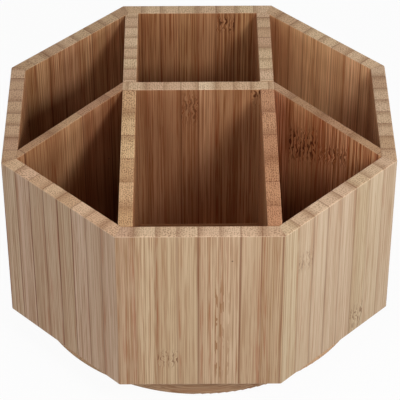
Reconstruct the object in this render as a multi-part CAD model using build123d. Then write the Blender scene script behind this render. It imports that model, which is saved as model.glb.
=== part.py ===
from build123d import *
import math
import os

# Rotating desk organizer: an octagonal tub of mitred boards with seven divider boards inside, carried by a
# sheet-metal ball bearing on a round base. Millimetres, +Z up, front towards -Y, origin on the table under
# the axis that the tub turns about.

# Tub
across_flats = 195.0
wall_height = 97.0
wall_thickness = 7.5
floor_thickness = 7.0
corner_radius = 1.5  # outer upright corners
rim_radius = 0.8  # outer top and bottom edges
inner_edge_radius = 0.4  # inner top edges of walls and dividers
glue_line = 0.05  # between boards that are glued to each other

# Dividers
divider_thickness = 7.0
diagonal_thickness = 4.7
divider_spread = 78.0  # between the outer faces of the left and right dividers
cross_offset = 23.2  # from the axis back to the middle of the cross divider

# Base
base_diameter = 177.0
base_thickness = 8.0
base_edge_radius = 1.0
foot_diameter = 12.0
foot_height = 2.0
foot_inset = 12.0  # from the edge of the base to the middle of a foot
foot_edge_radius = 0.5
access_hole_diameter = 15.0  # lets a screwdriver reach the screws of the upper bearing plate

# Bearing
ball_diameter = 6.0
ball_spacing = 0.3  # least gap from ball to ball
race_radius = 32.0  # from the axis to the middle of the balls
race_clearance = 0.1  # between ball and race
race_land = 3.0  # flat ring on each side of the race
sheet_thickness = 0.8
sheet_clearance = 0.1  # between the back of a race and the board behind it
web_rise = 2.0  # from the plate's mounting face to the back of its raised ring
plate_side = 100.0
plate_corner_radius = 10.0
collar_overlap = 1.6  # how far the rolled collar reaches over the other plate
collar_radial_clearance = 0.4
collar_axial_clearance = 0.35

# Screws
screw_inset = 7.0  # from the plate's edge to the screw
screw_diameter = 3.0
screw_length = 5.8
screw_tip_length = 1.5
screw_tip_diameter = 0.8
screw_head_diameter = 6.6
screw_head_height = 2.0
screw_head_radius = 0.8
screw_recess_length = 3.6
screw_recess_width = 0.9
screw_recess_depth = 1.1
plate_hole_clearance = 0.4  # radial, screw in plate
pilot_clearance = 0.05  # radial and at the tip, screw in board

# Plan of the tub
side_count = 8
half_sector = math.radians(180.0 / side_count)
apothem = across_flats / 2
inner_apothem = apothem - wall_thickness
inner_half_side = inner_apothem * math.tan(half_sector)
divider_face = divider_spread / 2
cross_front = cross_offset - divider_thickness / 2
wall_names = ["front", "front_right", "right", "back_right", "back", "back_left", "left", "front_left"]

# Heights from the table up
race_section = ball_diameter / 2 + race_clearance
bearing_height = 2 * (race_section + sheet_thickness + sheet_clearance)
base_top = foot_height + base_thickness
tub_bottom = base_top + bearing_height
floor_top = tub_bottom + floor_thickness
rim = tub_bottom + wall_height

# Plan of the bearing, from the mounting face of a plate up
race_height = bearing_height / 2
web_top = web_rise + sheet_thickness
race_half_width = math.sqrt((race_section + sheet_thickness) ** 2 - (race_height - web_rise) ** 2)
step_radius = race_radius + race_half_width + race_land
upper_bore_radius = race_radius - race_half_width - race_land
collar_radius = upper_bore_radius - collar_radial_clearance - sheet_thickness
lip_radius = upper_bore_radius + collar_overlap
lip_bottom = bearing_height - web_rise + collar_axial_clearance
screw_offset = plate_side / 2 - screw_inset
screw_circle = screw_offset * math.sqrt(2)
plate_hole_radius = screw_diameter / 2 + plate_hole_clearance
ball_count = int(2 * math.pi * race_radius / (ball_diameter + ball_spacing))
upper_plate_turn = 45.0  # puts each screw of the upper plate midway between two corners of the lower plate
access_hole_place = (0, -screw_circle)
foot_names = ["back_right", "back_left", "front_left", "front_right"]
first_foot_angle = 45.0
standing = (Align.CENTER, Align.CENTER, Align.MIN)  # on the plane of its place, rising along +Z


def octagon(flat_distance):
    """Regular octagon with flat sides to the front, back, left and right."""
    vertex_radius = flat_distance / math.cos(half_sector)
    angles = [half_sector * (2 * i + 1) for i in range(side_count)]
    points = [(vertex_radius * math.cos(a), vertex_radius * math.sin(a)) for a in angles]
    return Polygon(*points, align=None)


def rectangle(x_low, x_high, y_low, y_high):
    points = [(x_low, y_low), (x_high, y_low), (x_high, y_high), (x_low, y_high)]
    return Polygon(*points, align=None)


def upright(plan, z_low, z_high):
    return Pos(0, 0, z_low) * extrude(plan, z_high - z_low, dir=(0, 0, 1))


def top_face(solid):
    return solid.faces().sort_by(Axis.Z)[-1]


def wall_ring():
    """All eight walls in one ring, with eased edges, before the mitre cuts."""
    outline = octagon(apothem)
    outline = fillet(outline.vertices(), corner_radius)
    ring = upright(outline, tub_bottom, rim)
    bottom_face = ring.faces().sort_by(Axis.Z)[0]
    ring = fillet(top_face(ring).edges() + bottom_face.edges(), rim_radius)
    ring -= upright(octagon(inner_apothem), tub_bottom, rim)
    return fillet(top_face(ring).inner_wires()[0].edges(), inner_edge_radius)


def front_wall():
    """The front wall: the ring between two mitre planes, half a glue line inside each."""
    apex = glue_line / 2 / math.sin(half_sector)
    reach = across_flats
    half_width = (reach - apex) * math.tan(half_sector)
    sector = Polygon((0, -apex), (-half_width, -reach), (half_width, -reach), align=None)
    return wall_ring() & upright(sector, tub_bottom, rim)


def divider(plan):
    """An upright board on the floor, trimmed to the inside of the walls, with its two long top edges eased."""
    inside = octagon(inner_apothem - glue_line)
    board = upright(plan & inside, floor_top + glue_line, rim)
    long_edges = top_face(board).edges().sort_by(SortBy.LENGTH)[-2:]
    return fillet(long_edges, inner_edge_radius)


def cross_divider():
    y_high = cross_front + divider_thickness
    return divider(rectangle(-divider_face, divider_face, cross_front, y_high))


def front_divider_left():
    y_high = cross_front - glue_line
    return divider(rectangle(-divider_face, divider_thickness - divider_face, -apothem, y_high))


def rear_divider_left():
    y_low = cross_front + divider_thickness + glue_line
    return divider(rectangle(-divider_face, divider_thickness - divider_face, y_low, apothem))


def diagonal_divider_left():
    """From the end of the cross divider to the inner corner of the left and front left walls. The strip is
    drawn longer than that, and its spare ends are trimmed."""
    inner_end = Vector(-divider_face - glue_line, cross_front)
    corner = Vector(-inner_apothem, -inner_half_side)
    along = (corner - inner_end).normalized()
    across = Vector(along.Y, -along.X) * diagonal_thickness
    spare = along * divider_spread
    start = inner_end - spare
    end = corner + spare
    strip = Polygon(*[(p.X, p.Y) for p in (start, end, end + across, start + across)], align=None)
    left_half = rectangle(-apothem, inner_end.X, -apothem, apothem)
    return divider(strip & left_half)


def tub_floor():
    board = upright(octagon(inner_apothem - glue_line), tub_bottom, floor_top)
    return board - [place * pilot_hole() for place in upper_screw_places()]


def base_disc():
    disc = Pos(0, 0, foot_height) * Cylinder(base_diameter / 2, base_thickness, align=standing)
    disc = fillet(disc.edges().filter_by(GeomType.CIRCLE), base_edge_radius)
    disc -= [place * pilot_hole() for place in lower_screw_places()]
    access_hole = Cylinder(access_hole_diameter / 2, base_thickness, align=standing)
    return disc - Pos(*access_hole_place, foot_height) * access_hole


def foot_places():
    radius = base_diameter / 2 - foot_inset
    return list(PolarLocations(radius, len(foot_names), start_angle=first_foot_angle))


def rubber_foot():
    pad = Cylinder(foot_diameter / 2, foot_height, align=standing)
    return fillet(pad.edges().sort_by(Axis.Z)[0], foot_edge_radius)


def pressed_section():
    """Section of a plate's raised ring with its race, in radius and height above the mounting face."""
    web = rectangle(upper_bore_radius, step_radius, web_rise, web_top)
    step = rectangle(step_radius, step_radius + sheet_thickness, 0, web_top)
    race_centre = Pos(race_radius, race_height)
    back = race_centre * Circle(race_section + sheet_thickness)
    back &= rectangle(0, step_radius, 0, web_top)
    return web + step + back - race_centre * Circle(race_section)


def plate(section):
    """A bearing plate from its section: the ring turned about the axis and a square flange with screw holes."""
    flange_plan = RectangleRounded(plate_side, plate_side, plate_corner_radius)
    flange_plan -= Circle(step_radius)
    flange_plan -= GridLocations(2 * screw_offset, 2 * screw_offset, 2, 2) * Circle(plate_hole_radius)
    return revolve(Plane.XZ * section, Axis.Z) + extrude(flange_plan, sheet_thickness)


def bearing_lower_plate():
    """Its inner edge is a collar, rolled outwards over the upper plate so that the bearing holds together."""
    lip_top = lip_bottom + sheet_thickness
    land = rectangle(collar_radius, upper_bore_radius, web_rise, web_top)
    collar = rectangle(collar_radius, collar_radius + sheet_thickness, web_rise, lip_top)
    lip = rectangle(collar_radius, lip_radius, lip_bottom, lip_top)
    return Pos(0, 0, base_top) * plate(pressed_section() + land + collar + lip)


def bearing_upper_plate():
    upside_down = Pos(0, 0, tub_bottom) * Rot(180, 0, upper_plate_turn)
    return upside_down * plate(pressed_section())


def bearing_balls():
    ball = Sphere(ball_diameter / 2)
    places = PolarLocations(race_radius, ball_count)
    return Compound(children=[Pos(0, 0, base_top + race_height) * place * ball for place in places])


def lower_screw_places():
    """On the lower plate's flange, pointing down into the base."""
    corners = GridLocations(2 * screw_offset, 2 * screw_offset, 2, 2)
    return [Pos(0, 0, base_top + sheet_thickness) * place * Rot(180, 0, 0) for place in corners]


def upper_screw_places():
    """Under the upper plate's flange, pointing up into the floor of the tub."""
    corners = GridLocations(2 * screw_offset, 2 * screw_offset, 2, 2)
    turned = Pos(0, 0, tub_bottom - sheet_thickness) * Rot(0, 0, upper_plate_turn)
    return [turned * place for place in corners]


def screw():
    """Pan-head wood screw along +Z, with the underside of its head at the origin."""
    shank_length = screw_length - screw_tip_length
    shank = Cylinder(screw_diameter / 2, shank_length, align=standing)
    tip = Cone(screw_diameter / 2, screw_tip_diameter / 2, screw_tip_length, align=standing)
    head = Pos(0, 0, -screw_head_height) * Cylinder(screw_head_diameter / 2, screw_head_height, align=standing)
    head = fillet(head.edges().sort_by(Axis.Z)[0], screw_head_radius)
    slot = Box(screw_recess_length, screw_recess_width, screw_recess_depth, align=standing)
    recess = slot + Rot(0, 0, 90) * slot
    return head + shank + Pos(0, 0, shank_length) * tip - Pos(0, 0, -screw_head_height) * recess


def pilot_hole():
    """The room that a screw takes in a board, from the underside of its head."""
    return Cylinder(screw_diameter / 2 + pilot_clearance, screw_length + pilot_clearance, align=standing)


def screws(places):
    return Compound(children=[place * screw() for place in places])


def all_nodes():
    """Every piece by its name, in place."""
    nodes = {}
    wall = front_wall()
    for i, name in enumerate(wall_names):
        nodes[f"wall_{name}"] = Rot(0, 0, i * 360 / side_count) * wall
    left_boards = {
        "front_divider": front_divider_left(),
        "rear_divider": rear_divider_left(),
        "diagonal_divider": diagonal_divider_left(),
    }
    for name, board in left_boards.items():
        nodes[f"{name}_left"] = board
        nodes[f"{name}_right"] = mirror(board, about=Plane.YZ)
    nodes["cross_divider"] = cross_divider()
    nodes["tub_floor"] = tub_floor()
    nodes["base_disc"] = base_disc()
    for name, place in zip(foot_names, foot_places()):
        nodes[f"rubber_foot_{name}"] = place * rubber_foot()
    nodes["bearing_lower_plate"] = bearing_lower_plate()
    nodes["bearing_upper_plate"] = bearing_upper_plate()
    nodes["bearing_balls"] = bearing_balls()
    nodes["base_screws"] = screws(lower_screw_places())
    nodes["floor_screws"] = screws(upper_screw_places())
    return nodes


os.makedirs("parts", exist_ok=True)
for node_name, shape in all_nodes().items():
    export_step(shape, f"parts/{node_name}.step")
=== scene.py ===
import math
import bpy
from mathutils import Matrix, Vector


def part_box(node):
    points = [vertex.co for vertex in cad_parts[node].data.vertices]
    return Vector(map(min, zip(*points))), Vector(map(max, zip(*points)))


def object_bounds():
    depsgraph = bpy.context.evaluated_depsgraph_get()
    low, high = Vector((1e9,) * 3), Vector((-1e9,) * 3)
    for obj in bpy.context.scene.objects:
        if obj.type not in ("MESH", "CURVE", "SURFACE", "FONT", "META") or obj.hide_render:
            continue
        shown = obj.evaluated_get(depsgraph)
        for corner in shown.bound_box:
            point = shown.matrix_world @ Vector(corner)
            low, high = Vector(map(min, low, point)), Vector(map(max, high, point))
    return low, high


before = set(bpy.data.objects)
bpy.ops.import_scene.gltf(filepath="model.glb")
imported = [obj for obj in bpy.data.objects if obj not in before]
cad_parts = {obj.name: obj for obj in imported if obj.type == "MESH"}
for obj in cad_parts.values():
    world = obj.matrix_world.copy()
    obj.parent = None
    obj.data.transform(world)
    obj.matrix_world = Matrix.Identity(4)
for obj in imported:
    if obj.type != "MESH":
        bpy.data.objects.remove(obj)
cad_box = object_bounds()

from types import SimpleNamespace

import bpy
from mathutils import Vector

# Rotating desk organizer of laminated bamboo: the finish of every board, plate, ball, screw and foot.
# Lengths are metres in the scene and millimetres inside the bamboo material.

# Camera
camera_place = (-0.00616, -0.83182, 0.73472)
camera_elevation = 39.14  # degrees above the horizon
camera_turn = -0.47  # degrees about the upright axis, from straight ahead
camera_lens = 183.9
camera_sensor = 36.0

# Light. A level of 1 shows a white surface that faces the lamp as white.
lamps = {  # direction from the object, distance, level, width and height
    "key": ((0.38, -0.70, 0.61), 0.50, 0.385, 0.11, 0.11),
    "front_left": ((-0.38, -0.74, 0.57), 1.2, 0.115, 0.30, 0.30),
    "left": ((-0.64, -0.74, 0.22), 1.2, 0.165, 0.80, 0.30),
    "right": ((0.98, 0.00, 0.21), 1.2, 0.41, 0.60, 0.60),
    "back": ((-0.25, 0.92, 0.30), 1.2, 0.16, 0.80, 0.60),
    "top": ((-0.16, -0.08, 0.98), 1.2, 0.24, 0.60, 0.60),
}
world_level = 0.03
floor_half = 4.0
floor_grey = (0.8, 0.8, 0.8, 1.0)
floor_whiteness = 0.95  # share of the floor's look that doesn't depend on light
white = (1.0, 1.0, 1.0, 1.0)

# Boards, in millimetres and degrees
mm = 1000.0  # to the metre
wall_names = ["front", "front_right", "right", "back_right", "back", "back_left", "left", "front_left"]
wall_turn = 360.0 / len(wall_names)
wall_strips = 8  # glued side by side in the width of one wall
wall_inner_from = 1.5  # from the middle of a wall inwards, where its inner look and painted shade start
rear_strip = 9.5
front_strip = 18.8
cross_strip = 9.0
diagonal_strip = 20.5
diagonal_turn = 48.2
panel_strip = 20.0
everywhere = -1000.0  # as the start of the inner look and its painted shade, takes in the whole board
nowhere = 1000.0


def srgb(red, green, blue):
    """A colour given as a screen shows it, from 0 to 255, in the linear values that a shader takes."""
    def linear(level):
        share = level / 255
        return share / 12.92 if share <= 0.04045 else ((share + 0.055) / 1.055) ** 2.4
    return (linear(red), linear(green), linear(blue), 1.0)


# Bamboo colours
pale = srgb(213, 186, 156)
tan = srgb(189, 159, 128)
khaki_cast = (1.0, 0.998, 0.93, 1.0)
rose_cast = (1.02, 0.98, 0.98, 1.0)
streak_brown = srgb(154, 110, 70)
streak_red = srgb(164, 96, 60)
joint_brown = srgb(122, 70, 36)
knuckle_brown = srgb(114, 69, 36)
speck_brown = srgb(84, 58, 40)
end_pale = srgb(231, 201, 166)
end_tan = srgb(208, 171, 137)
pore_brown = srgb(134, 92, 58)
skin_brown = srgb(158, 116, 80)
# Painted highlight: the paler band halfway round the rounded edges.
edge_highlight = srgb(222, 196, 165)
# The inner look is painted shade: inside the tub the colour is darkened, deepened and tinted.
inner_tint = (1.22, 1.10, 1.06, 1.0)
inner_shade_power = 1.5  # power that darkens and deepens the colour inside, as painted shade
inner_ramp = 1.5  # millimetres in which the inner look comes in

# Bamboo fibres: waves to the millimetre across the grain and along it
hair_waves = (2.0, 0.012)
thread_waves = (1.8, 0.008)
streak_waves = (0.80, 0.006)
fading_waves = (1.60, 0.055)
zone_waves = (0.28, 0.014)
band_waves = (0.12, 0.004)
inward_waves = 0.4  # waves through the board, as a share of those across

# Marks in the grain: waves to the millimetre across and along, and a layer that keeps the noises apart
waver_noise = (0.45, 0.30, 0.0)
sway_noise = (0.05, 0.012, 0.0)
broken_noise = (0.9, 0.07, 7.0)
split_noise = (1.1, 0.004, 3.0)
tear_noise = (0.8, 0.15, 5.0)
noise_middle = 0.5  # level about which a noise goes up and down

# Levels of a noise, a wave or a random number at which its mark starts to show and at which it is full
hair_levels = (0.47, 0.53)
hair_fading = (0.35, 0.60)
thread_levels = (0.54, 0.59)
thread_fading = (0.40, 0.55)
streak_levels = (0.56, 0.62)
zone_levels = (0.53, 0.70)
band_levels = (0.35, 0.65)
ripple_levels = (0.1, 0.8)
broken_levels = (0.34, 0.48)
split_levels = (0.50, 0.52)
tear_levels = (0.49, 0.51)
joint_fading = (0.3, 0.6)
patch_levels = (0.35, 0.65)
coarse_levels = (0.40, 0.60)
speck_chance = (0.70, 0.72)

# Strength of a mark where its noise fades it most
hair_faded = 0.5
joint_faded = 0.55
pore_faded = 0.5

# Shares of a mark's colour. A pair is the least share and what the fullest mark adds to it.
strip_tone = 0.75
band_tone = 0.35
skin_share = 0.20
hair_share = (0.52, 0.36)
line_share = (0.25, 0.32)
tuft_share = (0.03, 0.15)
joint_share = 0.85
torn_share = 0.90
speck_share = 0.8
end_skin_share = 0.55
seam_share = (0.10, 0.5)
edge_highlight_share = 0.6

# Strips, from 0 at the inner side of the cane to 1 at its skin
crowded_skin = (0.6, 1.0)
brown_skin = (0.55, 1.0)

# Knuckles and torn patches, in millimetres, with their fading in shares of their reach
knuckle_bend = 3.5  # by which a knuckle bends the fibres
knuckle_fade = (1.0, 0.15)
fibre_sway = 0.3
ripple_pitch = 2.4  # radians to the millimetre across the lines of a knuckle
ripple_wander = 12.0  # radians by which those lines waver
torn_fade = (1.0, 0.5)
torn_width = (5.0, 2.0)  # from the middle of a torn patch, where the dashes end and where they are full

# Joints and their seams on cut ends, in millimetres from the middle of a joint
joint_reach = (0.30, 0.50)  # of the narrowest joint, and what the widest adds
joint_core = 0.35  # share of the reach in which a joint is full
joint_waves = 0.02  # to the millimetre along a joint
seam_fade = (0.5, 0.15)  # where a seam ends and where it is full

# Specks and pores, with cells to the millimetre, and in shares of a cell where each ends and is full
speck_cells = 0.05
speck_fade = (0.030, 0.012)
fine_pores = 0.96
coarse_pores = 0.78
pore_scatter = 0.6
pore_fade = (0.44, 0.18)
patch_waves = 0.25  # to the millimetre, between strong and faint pores

# Surface of the bamboo
end_levels = (0.30, 0.70)  # how far a face looks along the grain, on a long side and on a cut end
side_roughness = (0.52, 0.16)  # of the plain wood, and what its marks add
end_roughness = (0.62, 0.15)
bamboo_specular = 0.3
bump_strength = 0.35
bump_height = 0.0001
hair_sunk = 0.4  # shares of that height
joint_sunk = 0.5

# Metal and rubber, with scales in waves to the metre
plate_grey = srgb(196, 197, 200)
ball_grey = srgb(206, 207, 210)
screw_grey = srgb(178, 172, 158)
steel_shade = 0.78  # brightness of the darker clouds
steel_levels = (0.3, 0.7)
steel_unevenness = 0.08
steel_fineness = 12  # fine marks to each cloud
rubber_dark = srgb(38, 37, 36)
rubber_light = srgb(58, 56, 54)
rubber_grain = 2500.0
rubber_clouds = 150.0
rubber_roughness = (0.72, 0.15)
rubber_bump = 0.3


class Graph:
    """A node tree written as expressions. Most calls add a node and give back what comes out of it."""

    def __init__(self, tree):
        self.tree = tree

    def node(self, kind, inputs=(), **settings):
        made = self.tree.nodes.new(kind)
        for name, value in settings.items():
            setattr(made, name, value)
        for name, value in dict(inputs).items():
            self.feed(made.inputs[name], value)
        return made

    def feed(self, socket, value):
        if isinstance(value, bpy.types.NodeSocket):
            self.tree.links.new(value, socket)
        else:
            socket.default_value = value

    def math(self, operation, first, second=0.0, third=0.0):
        return self.node("ShaderNodeMath", {0: first, 1: second, 2: third}, operation=operation).outputs[0]

    def add(self, first, second):
        return self.math("ADD", first, second)

    def less(self, first, second):
        return self.math("SUBTRACT", first, second)

    def times(self, first, second):
        return self.math("MULTIPLY", first, second)

    def over(self, first, second):
        return self.math("DIVIDE", first, second)

    def most(self, first, second):
        return self.math("MAXIMUM", first, second)

    def size(self, value):
        return self.math("ABSOLUTE", value)

    def rising(self, value, start, rise):
        """The start where the value is 0, and more by the rise where it is 1."""
        return self.add(start, self.times(value, rise))

    def step(self, value, low, high, bottom=0.0, top=1.0):
        """Goes smoothly from bottom to top while the value goes from low to high."""
        inputs = {"Value": value, "From Min": low, "From Max": high, "To Min": bottom, "To Max": top}
        return self.node("ShaderNodeMapRange", inputs, interpolation_type="SMOOTHSTEP").outputs[0]

    def mix(self, share, first, second, blend="MIX"):
        made = self.node("ShaderNodeMix", data_type="RGBA", blend_type=blend)
        self.feed(made.inputs[0], share)
        self.feed(made.inputs[6], first)
        self.feed(made.inputs[7], second)
        return made.outputs[2]

    def tinted(self, colour, tint):
        return self.mix(1.0, colour, tint, "MULTIPLY")

    def point(self, x, y, z):
        return self.node("ShaderNodeCombineXYZ", {"X": x, "Y": y, "Z": z}).outputs[0]

    def parts(self, vector):
        return self.node("ShaderNodeSeparateXYZ", {0: vector}).outputs

    def noise(self, place, detail=1.0, scale=1.0):
        inputs = {"Vector": place, "Scale": scale, "Detail": detail}
        return self.node("ShaderNodeTexNoise", inputs).outputs["Fac"]

    def chance(self, value):
        """Three random numbers from 0 to 1, the same for equal values."""
        made = self.node("ShaderNodeTexWhiteNoise", {"W": value}, noise_dimensions="1D")
        return self.parts(made.outputs["Color"])


def board_places(g, given):
    """Where a point lies on its board: u across the strips, w through the board, z along the grain, all in
    millimetres, with the strip it is in, the nearest joint and the random numbers of both."""
    board_stride = 37.0  # keeps the strips of one seed apart from those of the next
    second_draw = 0.53
    joint_draw = 0.37
    strip_spread = 90.0  # keeps the noise of one strip apart from its neighbour's
    seat = g.node("ShaderNodeTexCoord").outputs

    def turned(vector):
        inputs = {"Vector": vector, "Rotation": given["Turn"]}
        return g.node("ShaderNodeVectorRotate", inputs, rotation_type="EULER_XYZ").outputs[0]

    in_mm = g.node("ShaderNodeVectorMath", {0: seat["Object"], 3: mm}, operation="SCALE").outputs[0]
    moved = g.node("ShaderNodeVectorMath", {0: turned(in_mm), 1: given["Shift"]}, operation="ADD").outputs[0]
    at = SimpleNamespace()
    at.u, at.w, at.z = g.parts(moved)
    at.end_face = g.step(g.size(g.parts(turned(seat["Normal"]))[2]), *end_levels)
    strips = g.over(at.u, given["Strip"])
    at.strip = g.math("FLOOR", strips)
    seeded = g.times(given["Seed"], board_stride)
    own = g.add(at.strip, seeded)
    at.tone, offset, at.coarse = g.chance(own)
    at.cast, skin_side, at.dense = g.chance(g.add(own, second_draw))
    at.skin = g.size(g.less(g.math("FRACT", strips), g.math("ROUND", skin_side)))
    joint = g.math("ROUND", strips)
    at.joint_depth, at.joint_width, at.joint_place = g.chance(g.add(g.add(joint, seeded), joint_draw))
    at.from_joint = g.times(g.size(g.less(strips, joint)), given["Strip"])
    at.apart = g.add(g.times(offset, strip_spread), seeded)
    return at


def away_along(g, at, level, reach):
    """How far a point is from this level along the grain, where 1 is the reach."""
    least_reach = 0.001
    return g.over(g.size(g.less(at.z, level)), g.most(reach, least_reach))


def knuckle(g, given, at, mark):
    """1 in the middle of a knuckle, 0 away from it. The mark gives its u, its z and how far it reaches."""
    strip_match = 0.25
    mark_u, mark_z, reach = g.parts(mark)
    level = g.add(mark_z, g.times(g.less(at.u, mark_u), given["Slant"]))
    mark_strip = g.math("FLOOR", g.over(mark_u, given["Strip"]))
    same_strip = g.math("COMPARE", at.strip, mark_strip, strip_match)
    return g.times(same_strip, g.step(away_along(g, at, level, reach), *knuckle_fade))


def torn_patch(g, at, mark):
    """1 where the fibres are torn into dashes, 0 elsewhere. The mark is as for a knuckle."""
    mark_u, mark_z, reach = g.parts(mark)
    beside = g.step(g.size(g.less(at.u, mark_u)), *torn_width)
    return g.times(g.step(away_along(g, at, mark_z, reach), *torn_fade), beside)


def fibres(g, at, across, along):
    """Noise drawn out along the bent grain, with this many waves to the millimetre across and along it."""
    inward = g.add(g.times(at.w, across * inward_waves), at.apart)
    return g.noise(g.point(g.times(at.bent, across), inward, g.times(at.z, along)))


def flecks(g, at, across, along, layer):
    """Noise drawn out along the straight grain, the same through the whole board."""
    return g.noise(g.point(g.times(at.u, across), g.add(at.apart, layer), g.times(at.z, along)))


def strip_cast(g, at):
    """The faint khaki or rose cast of a strip."""
    return g.mix(at.cast, khaki_cast, rose_cast)


def fibre_colour(g, given, at):
    """Pale to tan strips with brown and reddish fibres that crowd towards the skin side of each strip."""
    thread = fibres(g, at, *thread_waves)
    streak = fibres(g, at, *streak_waves)
    fading = fibres(g, at, *fading_waves)
    zone = fibres(g, at, *zone_waves)
    band = fibres(g, at, *band_waves)
    crowd = g.most(g.step(at.skin, *crowded_skin), g.step(zone, *zone_levels))
    tone = g.add(g.times(at.tone, strip_tone), g.step(band, *band_levels, top=band_tone))
    colour = g.tinted(g.mix(tone, pale, tan), strip_cast(g, at))
    colour = g.mix(g.step(at.skin, *brown_skin, top=skin_share), colour, streak_brown)
    hairs = g.times(g.step(at.hair, *hair_levels), g.step(fading, *hair_fading, bottom=hair_faded))
    hair_cover = g.times(g.times(hairs, given["Grain"]), g.rising(at.dense, *hair_share))
    colour = g.mix(hair_cover, colour, streak_brown)
    lines = g.times(g.step(thread, *thread_levels), g.step(fading, *thread_fading))
    line_cover = g.times(g.times(lines, given["Grain"]), g.rising(crowd, *line_share))
    colour = g.mix(line_cover, colour, streak_red)
    tufts = g.times(g.step(streak, *streak_levels), g.rising(hairs, *tuft_share))
    return g.mix(g.times(g.times(tufts, given["Grain"]), crowd), colour, streak_red)


def joint_line(g, given, at):
    """How dark the joints between strips are, each with its own depth and width, and 0 away from them."""
    along = g.noise(g.point(at.joint_place, at.apart, g.times(at.z, joint_waves)))
    reach = g.rising(at.joint_width, *joint_reach)
    line = g.step(at.from_joint, reach, g.times(reach, joint_core))
    depth = g.times(at.joint_depth, given["Joints"])
    return g.times(line, g.times(depth, g.step(along, *joint_fading, bottom=joint_faded)))


def torn_dashes(g, given, at):
    """1 on the dashes of a torn patch, 0 between and away from them."""
    split = g.step(flecks(g, at, *split_noise), *split_levels)
    dashes = g.times(split, g.step(flecks(g, at, *tear_noise), *tear_levels))
    return g.times(dashes, torn_patch(g, at, given["Torn"]))


def specks(g, at):
    """1 on a few small dark specks, 0 elsewhere."""
    inputs = {"Vector": g.point(at.u, at.apart, at.z), "Scale": speck_cells}
    spots = g.node("ShaderNodeTexVoronoi", inputs).outputs
    few = g.step(g.parts(spots["Color"])[0], *speck_chance)
    return g.times(g.step(spots["Distance"], *speck_fade), few)


def side_colour(g, given, at):
    """Long faces: fibres, dark joints, wavering lines at the knuckles, torn dashes and a few specks, with the
    inner look where the board has one: painted shade that darkens and deepens the colour inside the tub."""
    mark_a = knuckle(g, given, at, given["Knuckle A"])
    mark_b = knuckle(g, given, at, given["Knuckle B"])
    waver = flecks(g, at, *waver_noise)
    sway = flecks(g, at, *sway_noise)
    bend = g.times(g.less(waver, noise_middle), g.times(g.most(mark_a, mark_b), knuckle_bend))
    at.bent = g.add(at.u, g.add(bend, g.times(g.less(sway, noise_middle), fibre_sway)))
    at.hair = fibres(g, at, *hair_waves)
    at.line = joint_line(g, given, at)
    colour = g.mix(g.times(at.line, joint_share), fibre_colour(g, given, at), joint_brown)

    ripple = g.math("SINE", g.add(g.times(at.u, ripple_pitch), g.times(waver, ripple_wander)))
    broken = g.step(flecks(g, at, *broken_noise), *broken_levels)
    fingers = g.times(g.step(ripple, *ripple_levels), broken)
    dark = g.most(g.times(mark_a, given["Depth A"]), g.times(mark_b, given["Depth B"]))
    colour = g.mix(g.times(fingers, dark), colour, knuckle_brown)
    colour = g.mix(g.times(torn_dashes(g, given, at), torn_share), colour, streak_brown)
    colour = g.mix(g.times(specks(g, at), speck_share), colour, speck_brown)

    # Painted shade: the inside faces are darkened, deepened and tinted board by board.
    inner = g.step(at.w, given["Inner From"], g.add(given["Inner From"], inner_ramp))
    shaded_inside = g.node("ShaderNodeGamma", {"Color": colour, "Gamma": inner_shade_power}).outputs[0]
    return g.mix(inner, colour, g.tinted(g.tinted(shaded_inside, inner_tint), given["Inner Tint"]))


def end_colour(g, given, at):
    """Cut ends: pores as dots, coarse in some strips, a tone for each strip and a fine line at each joint."""
    place = g.point(g.add(at.u, at.apart), at.w, 0.0)
    fineness = g.step(at.coarse, *coarse_levels, fine_pores, coarse_pores)
    inputs = {"Vector": place, "Scale": fineness, "Randomness": pore_scatter}
    cells = g.node("ShaderNodeTexVoronoi", inputs, voronoi_dimensions="2D")
    patches = g.noise(g.point(g.times(at.u, patch_waves), g.times(at.w, patch_waves), at.apart))
    strength = g.times(given["Pores"], g.step(patches, *patch_levels, bottom=pore_faded))
    at.dots = g.times(g.step(cells.outputs["Distance"], *pore_fade), strength)
    colour = g.tinted(g.mix(at.tone, end_pale, end_tan), strip_cast(g, at))
    colour = g.mix(g.step(at.skin, *brown_skin, top=end_skin_share), colour, skin_brown)
    colour = g.mix(at.dots, colour, pore_brown)
    seam = g.times(g.step(at.from_joint, *seam_fade), g.rising(at.joint_depth, *seam_share))
    return g.tinted(g.mix(seam, colour, joint_brown), given["End Tint"])


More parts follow.
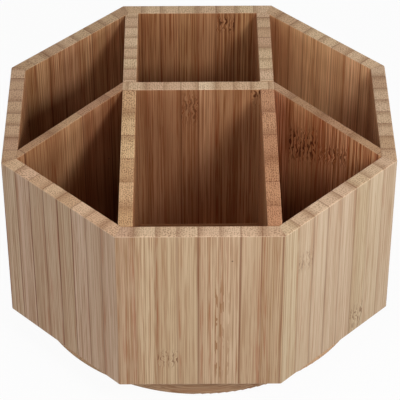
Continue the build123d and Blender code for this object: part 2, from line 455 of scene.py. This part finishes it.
def bamboo_group():
    """Laminated bamboo as a node group, which each board then sets to its own place, strips and seed."""
    tree = bpy.data.node_groups.new("laminated_bamboo", "ShaderNodeTree")
    inputs = [
        ("Turn", "Vector", (0.0, 0.0, 0.0)),
        ("Shift", "Vector", (0.0, 0.0, 0.0)),
        ("Strip", "Float", 10.0),
        ("Seed", "Float", 0.0),
        ("Inner From", "Float", nowhere),
        ("Knuckle A", "Vector", (0.0, 0.0, 0.0)),
        ("Knuckle B", "Vector", (0.0, 0.0, 0.0)),
        ("Depth A", "Float", 0.8),
        ("Depth B", "Float", 0.8),
        ("Slant", "Float", 0.0),
        ("Torn", "Vector", (0.0, 0.0, 0.0)),
        ("Pores", "Float", 0.65),
        ("Grain", "Float", 1.0),
        ("Joints", "Float", 1.0),
        ("Tint", "Color", white),
        ("Inner Tint", "Color", white),
        ("End Tint", "Color", white),
    ]
    for name, kind, value in inputs:
        socket = tree.interface.new_socket(name, in_out="INPUT", socket_type="NodeSocket" + kind)
        socket.default_value = value
    for name, kind in [("Color", "Color"), ("Roughness", "Float"), ("Height", "Float")]:
        tree.interface.new_socket(name, in_out="OUTPUT", socket_type="NodeSocket" + kind)
    g = Graph(tree)
    given = g.node("NodeGroupInput").outputs
    at = board_places(g, given)
    colour = g.mix(at.end_face, side_colour(g, given, at), end_colour(g, given, at))
    edge_highlight_band = g.times(g.times(at.end_face, g.less(1.0, at.end_face)), 4.0)  # 1 halfway round an edge
    # Painted highlight: a paler band halfway round each rounded edge, where it would catch the light.
    colour = g.mix(g.times(edge_highlight_band, edge_highlight_share), colour, g.tinted(edge_highlight, given["End Tint"]))
    rough_side = g.rising(at.hair, *side_roughness)
    rough_end = g.rising(at.dots, *end_roughness)
    rough = g.add(rough_side, g.times(g.less(rough_end, rough_side), at.end_face))
    dents = g.times(g.most(at.line, g.times(at.dots, at.end_face)), joint_sunk)
    out = g.node("NodeGroupOutput")
    g.feed(out.inputs["Color"], g.tinted(colour, given["Tint"]))
    g.feed(out.inputs["Roughness"], rough)
    g.feed(out.inputs["Height"], g.less(1.0, g.add(g.times(at.hair, hair_sunk), dents)))


def new_material(name):
    """A new material, the graph of its nodes and its principled shader."""
    made = bpy.data.materials.new(name)
    made.use_nodes = True
    return made, Graph(made.node_tree), made.node_tree.nodes["Principled BSDF"]


def bamboo(name, **board):
    """Bamboo for one board. The named values go to the inputs of the bamboo group."""
    made, g, shader = new_material(name + "_bamboo")
    wood = g.node("ShaderNodeGroup", node_tree=bpy.data.node_groups["laminated_bamboo"])
    for key, value in board.items():
        wood.inputs[key.replace("_", " ").title()].default_value = value
    inputs = {"Height": wood.outputs["Height"], "Strength": bump_strength, "Distance": bump_height}
    g.feed(shader.inputs["Base Color"], wood.outputs["Color"])
    g.feed(shader.inputs["Roughness"], wood.outputs["Roughness"])
    g.feed(shader.inputs["Normal"], g.node("ShaderNodeBump", inputs).outputs[0])
    shader.inputs["Specular IOR Level"].default_value = bamboo_specular
    return made


def steel(name, colour, roughness, clouds):
    """Bare or plated steel with faint clouds, this many waves of them to the metre."""
    made, g, shader = new_material(name)
    seat = g.node("ShaderNodeTexCoord").outputs["Object"]
    cloud = g.noise(seat, detail=4.0, scale=clouds)
    fine = g.noise(seat, detail=2.0, scale=clouds * steel_fineness)
    dark = tuple(steel_shade * level for level in colour[:3]) + (1.0,)
    g.feed(shader.inputs["Base Color"], g.mix(g.step(cloud, *steel_levels), colour, dark))
    g.feed(shader.inputs["Roughness"], g.rising(g.add(cloud, fine), roughness, steel_unevenness))
    shader.inputs["Metallic"].default_value = 1.0
    return made


def rubber(name):
    """Matt dark rubber with a fine moulded grain."""
    made, g, shader = new_material(name)
    seat = g.node("ShaderNodeTexCoord").outputs["Object"]
    fine = g.noise(seat, detail=3.0, scale=rubber_grain)
    cloud = g.noise(seat, detail=2.0, scale=rubber_clouds)
    inputs = {"Height": fine, "Strength": rubber_bump, "Distance": bump_height}
    g.feed(shader.inputs["Base Color"], g.mix(cloud, rubber_dark, rubber_light))
    g.feed(shader.inputs["Roughness"], g.rising(fine, *rubber_roughness))
    g.feed(shader.inputs["Normal"], g.node("ShaderNodeBump", inputs).outputs[0])
    return made


def finish_node(node, material):
    """Gives every face of a CAD node this material."""
    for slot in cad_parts[node].material_slots:
        slot.material = material


def finish_walls():
    """The eight walls, each with its own seed, tints and knuckles."""
    low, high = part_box("wall_front")
    side = -2.0 * mm * low.y * math.tan(math.radians(wall_turn / 2))
    middle = mm * (low.y + high.y) / 2
    # Inner tints set hues and paint each compartment's light and shade; back_right is painted much brighter.
    boards = {
        "front": dict(seed=62.0, shift=(1.0, 0.0, 0.0), end_tint=(0.92, 0.90, 0.94, 1.0),
                      knuckle_a=(-14.8, 35.7, 8.0), depth_a=0.75, torn=(11.0, 54.0, 40.0)),
        "front_right": dict(seed=817.0, grain=0.65, joints=0.7, pores=0.5,
                            tint=(1.00, 1.09, 1.15, 1.0), end_tint=(0.91, 0.85, 0.83, 1.0),
                            knuckle_a=(15.9, 27.4, 13.0), depth_a=0.7,
                            knuckle_b=(-27.1, 90.8, 9.0), depth_b=0.6),
        "right": dict(seed=3.0, end_tint=(0.86, 0.85, 0.86, 1.0),
                      knuckle_a=(-24.0, 50.0, 8.0), knuckle_b=(8.0, 92.0, 6.0)),
        "back_right": dict(seed=4.0, grain=0.6, joints=0.5, inner_tint=(1.48, 1.60, 1.67, 1.0),
                           knuckle_a=(-26.0, 40.0, 8.0)),
        "back": dict(seed=5.0, inner_tint=(0.96, 0.91, 0.86, 1.0),
                     knuckle_a=(-13.3, 108.0, 8.0), knuckle_b=(24.0, 53.0, 7.0)),
        "back_left": dict(seed=6.0, end_tint=(0.78, 0.74, 0.70, 1.0), inner_tint=(1.10, 1.16, 1.20, 1.0),
                          knuckle_a=(25.0, 36.0, 7.0)),
        "left": dict(seed=7.0, end_tint=(0.80, 0.73, 0.71, 1.0),
                     knuckle_a=(4.0, 44.0, 8.0), knuckle_b=(-35.0, 80.0, 6.0)),
        "front_left": dict(seed=910.0, joints=1.7, tint=(1.04, 1.06, 1.14, 1.0),
                           end_tint=(0.97, 0.92, 0.85, 1.0)),
    }
    for number, name in enumerate(wall_names):
        turn = (0.0, 0.0, -math.radians(wall_turn * number))
        made = bamboo("wall_" + name, turn=turn, strip=side / wall_strips,
                      inner_from=middle + wall_inner_from, **boards[name])
        finish_node("wall_" + name, made)


def finish_dividers():
    """The seven dividers, which have the inner look and its painted shade all over."""
    along = (0.0, 0.0, math.radians(90.0))
    slant = math.radians(diagonal_turn)
    yellow_ends = (1.03, 0.95, 0.82, 1.0)
    orange_ends = (0.85, 0.64, 0.54, 1.0)
    light_ends = (1.10, 1.15, 1.18, 1.0)
    brown_ends = (0.66, 0.55, 0.48, 1.0)
    # Inner tints set hues and paint each compartment's light and shade; diagonal_divider_right is painted
    # brighter.
    boards = {
        "rear_divider_left": dict(turn=along, strip=rear_strip, seed=11.0),
        "rear_divider_right": dict(turn=along, strip=rear_strip, seed=12.0),
        "front_divider_left": dict(turn=along, strip=front_strip, seed=13.0, pores=1.0,
                                   end_tint=yellow_ends),
        "front_divider_right": dict(turn=along, strip=front_strip, seed=14.0, pores=1.0,
                                    end_tint=orange_ends),
        "cross_divider": dict(strip=cross_strip, seed=15.0, grain=0.85, joints=0.8,
                              end_tint=light_ends, inner_tint=(1.00, 1.02, 1.04, 1.0),
                              knuckle_a=(-2.0, 103.0, 14.0), depth_a=0.50,
                              knuckle_b=(32.0, 110.0, 9.0), depth_b=0.9),
        "diagonal_divider_left": dict(turn=(0.0, 0.0, -slant), strip=diagonal_strip, seed=16.0,
                                      end_tint=brown_ends, inner_tint=(0.95, 0.93, 0.92, 1.0)),
        "diagonal_divider_right": dict(turn=(0.0, 0.0, slant), shift=(-23.3, 0.0, 0.0),
                                       strip=diagonal_strip, seed=17.0, grain=1.35,
                                       end_tint=brown_ends, inner_tint=(1.25, 1.18, 1.20, 1.0),
                                       knuckle_a=(10.2, 91.5, 15.0), depth_a=1.1, slant=0.5,
                                       knuckle_b=(30.4, 96.0, 9.0), depth_b=0.6),
    }
    for name, board in boards.items():
        finish_node(name, bamboo(name, inner_from=everywhere, **board))


def finish_panels():
    """The floor of the tub, with the inner look and more painted shade, and the disc of the base."""
    lying = (0.0, -math.radians(90.0), 0.0)
    # Painted shade: the floor at the bottom of the compartments is darkened further.
    shaded = (0.70, 0.63, 0.56, 1.0)
    # The disc's brown tint is partly its own colour and partly painted shade under the tub.
    brown = (0.79, 0.70, 0.63, 1.0)
    finish_node("tub_floor", bamboo("tub_floor", turn=lying, strip=panel_strip, seed=21.0,
                                    inner_from=everywhere, inner_tint=shaded))
    finish_node("base_disc", bamboo("base_disc", turn=lying, strip=panel_strip, seed=22.0, tint=brown))


def finish_metal():
    """The bearing's plates and balls, and the screws."""
    plated = steel("zinc_plated_sheet", plate_grey, roughness=0.30, clouds=120.0)
    for node in ("bearing_lower_plate", "bearing_upper_plate"):
        finish_node(node, plated)
    finish_node("bearing_balls", steel("bearing_steel", ball_grey, roughness=0.12, clouds=300.0))
    screw = steel("screw_steel", screw_grey, roughness=0.28, clouds=500.0)
    for node in ("base_screws", "floor_screws"):
        finish_node(node, screw)


def finish_feet():
    """The pads under the base."""
    foot = rubber("foot_rubber")
    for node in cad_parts:
        if node.startswith("rubber_foot"):
            finish_node(node, foot)


def seen_directly(g):
    """1 for what the eye, a reflection or a clear surface shows, 0 for the light that falls on things."""
    path = g.node("ShaderNodeLightPath").outputs
    return g.most(g.most(path["Is Camera Ray"], path["Is Glossy Ray"]), path["Is Transmission Ray"])


def add_floor():
    """A nearly white floor that keeps a faint shadow of the object."""
    corners = [(-floor_half, -floor_half, 0), (floor_half, -floor_half, 0),
               (floor_half, floor_half, 0), (-floor_half, floor_half, 0)]
    mesh = bpy.data.meshes.new("floor")
    mesh.from_pydata(corners, [], [(0, 1, 2, 3)])
    floor = bpy.data.objects.new("floor", mesh)
    bpy.context.scene.collection.objects.link(floor)
    made = bpy.data.materials.new("floor_white")
    made.use_nodes = True
    made.node_tree.nodes.clear()
    g = Graph(made.node_tree)
    matt = g.node("ShaderNodeBsdfDiffuse", {"Color": floor_grey})
    glow = g.node("ShaderNodeEmission", {"Color": white, "Strength": 1.0})
    share = g.times(seen_directly(g), floor_whiteness)
    surface = g.node("ShaderNodeMixShader", {0: share, 1: matt.outputs[0], 2: glow.outputs[0]})
    g.node("ShaderNodeOutputMaterial", {"Surface": surface.outputs[0]})
    mesh.materials.append(made)


def add_world():
    """White where it is seen, and a weak even light on the object."""
    world = bpy.data.worlds.new("studio")
    bpy.context.scene.world = world
    world.use_nodes = True
    g = Graph(world.node_tree)
    sky = world.node_tree.nodes["Background"]
    sky.inputs["Color"].default_value = white
    strength = g.math("MULTIPLY_ADD", seen_directly(g), 1.0 - world_level, world_level)
    g.feed(sky.inputs["Strength"], strength)


def add_lamp(name, direction, distance, level, width, height):
    """A rectangular lamp that shines on the middle of the object."""
    lamp = bpy.data.lights.new(name, "AREA")
    lamp.shape = "RECTANGLE"
    lamp.size = width
    lamp.size_y = height
    lamp.energy = level * math.pi ** 2 * distance ** 2
    holder = bpy.data.objects.new(name, lamp)
    bpy.context.scene.collection.objects.link(holder)
    middle = (cad_box[0] + cad_box[1]) / 2
    towards = Vector(direction).normalized()
    holder.location = middle + towards * distance
    holder.rotation_mode = "QUATERNION"
    holder.rotation_quaternion = (-towards).to_track_quat("-Z", "Y")


def add_camera():
    """The camera, in front of the object and above it."""
    lens = bpy.data.cameras.new("camera")
    lens.lens = camera_lens
    lens.sensor_width = camera_sensor
    holder = bpy.data.objects.new("camera", lens)
    bpy.context.scene.collection.objects.link(holder)
    holder.location = camera_place
    holder.rotation_euler = (math.radians(90.0 - camera_elevation), 0.0, math.radians(camera_turn))
    bpy.context.scene.camera = holder


bamboo_group()
finish_walls()
finish_dividers()
finish_panels()
finish_metal()
finish_feet()
add_floor()
add_world()
for lamp_name, lamp_values in lamps.items():
    add_lamp(lamp_name, *lamp_values)
add_camera()
bpy.context.scene.view_settings.view_transform = "Standard"
